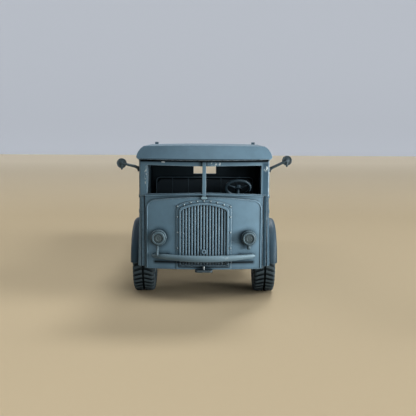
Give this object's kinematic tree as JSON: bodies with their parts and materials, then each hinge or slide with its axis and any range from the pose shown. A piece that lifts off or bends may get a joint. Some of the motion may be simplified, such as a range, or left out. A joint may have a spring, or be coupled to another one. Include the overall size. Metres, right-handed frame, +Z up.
{
  "type": "scale model military cargo truck",
  "caption": "Small unpainted scale model of a late 1930s forward-control military cargo truck: hollow cab, louvred nose, open drop-side bed and wheels that roll.",
  "frame": {"origin": "on the ground under the middle of the whole truck, mirrors included", "axes": "+Z up, the truck faces -Y, +X is the vehicle's own left side where the steering wheel is"},
  "size_m": [0.039, 0.0948, 0.0355],
  "materials": {
    "body_plastic": "matte, unpainted blue-grey, fine grain",
    "bed_plastic": "matte, unpainted blue-grey, moulded plank lines",
    "chassis_plastic": "matte, unpainted blue-grey, in shade",
    "interior_plastic": "matte, unpainted blue-grey",
    "tyre_plastic": "matte, unpainted blue-grey, darker in the tread"
  },
  "bodies": {
    "truck": {"bed_bearers": "bed_plastic", "bed_floor": "bed_plastic", "bed_side_left": "bed_plastic", "bed_side_right": "bed_plastic", "bumper": "body_plastic", "cab_back": "body_plastic", "cab_floor": "interior_plastic", "cab_roof": "body_plastic", "cab_side_left": "body_plastic", "cab_side_right": "body_plastic", "cab_step_left": "body_plastic", "cab_step_right": "body_plastic", "chassis_frame": "chassis_plastic", "dashboard": "interior_plastic", "door_left": "body_plastic", "door_right": "body_plastic", "engine_block": "chassis_plastic", "engine_cover": "interior_plastic", "front_axle": "chassis_plastic", "front_fender_left": "body_plastic", "front_fender_right": "body_plastic", "front_knuckle_left": "chassis_plastic", "front_knuckle_right": "chassis_plastic", "fuel_tank": "body_plastic", "gearbox_and_shaft": "chassis_plastic", "grille": "body_plastic", "headboard": "bed_plastic", "headlamp_left": "body_plastic", "headlamp_right": "body_plastic", "mirror_left": "body_plastic", "mirror_right": "body_plastic", "nose_panel": "body_plastic", "radiator": "chassis_plastic", "rear_axle": "chassis_plastic", "seat_bench": "interior_plastic", "spare_wheel": "tyre_plastic", "spring_front_left": "chassis_plastic", "spring_front_right": "chassis_plastic", "spring_rear_left": "chassis_plastic", "spring_rear_right": "chassis_plastic", "steering_wheel": "interior_plastic", "tailboard": "bed_plastic", "tool_box": "body_plastic", "tow_eye": "body_plastic", "tow_pin": "body_plastic", "windscreen_frame": "body_plastic"},
    "wheel_front_left": {"front_tyre_left": "tyre_plastic", "front_rim_left": "body_plastic"},
    "wheel_front_right": {"front_tyre_right": "tyre_plastic", "front_rim_right": "body_plastic"},
    "wheels_rear_left": {"rear_tyres_left": "tyre_plastic", "rear_rims_left": "body_plastic"},
    "wheels_rear_right": {"rear_tyres_right": "tyre_plastic", "rear_rims_right": "body_plastic"}
  },
  "joints": [
    {"name": "front_left_wheel_spin", "type": "hinge", "parent": "truck", "child": "wheel_front_left", "pos_m": [0.01415, -0.0325, 0.007], "axis": [1, 0, 0], "continuous": true},
    {"name": "front_right_wheel_spin", "type": "hinge", "parent": "truck", "child": "wheel_front_right", "pos_m": [-0.01415, -0.0325, 0.007], "axis": [1, 0, 0], "continuous": true},
    {"name": "rear_left_wheels_spin", "type": "hinge", "parent": "truck", "child": "wheels_rear_left", "pos_m": [0.01195, 0.0215, 0.007], "axis": [1, 0, 0], "continuous": true},
    {"name": "rear_right_wheels_spin", "type": "hinge", "parent": "truck", "child": "wheels_rear_right", "pos_m": [-0.01195, 0.0215, 0.007], "axis": [1, 0, 0], "continuous": true}
  ]
}
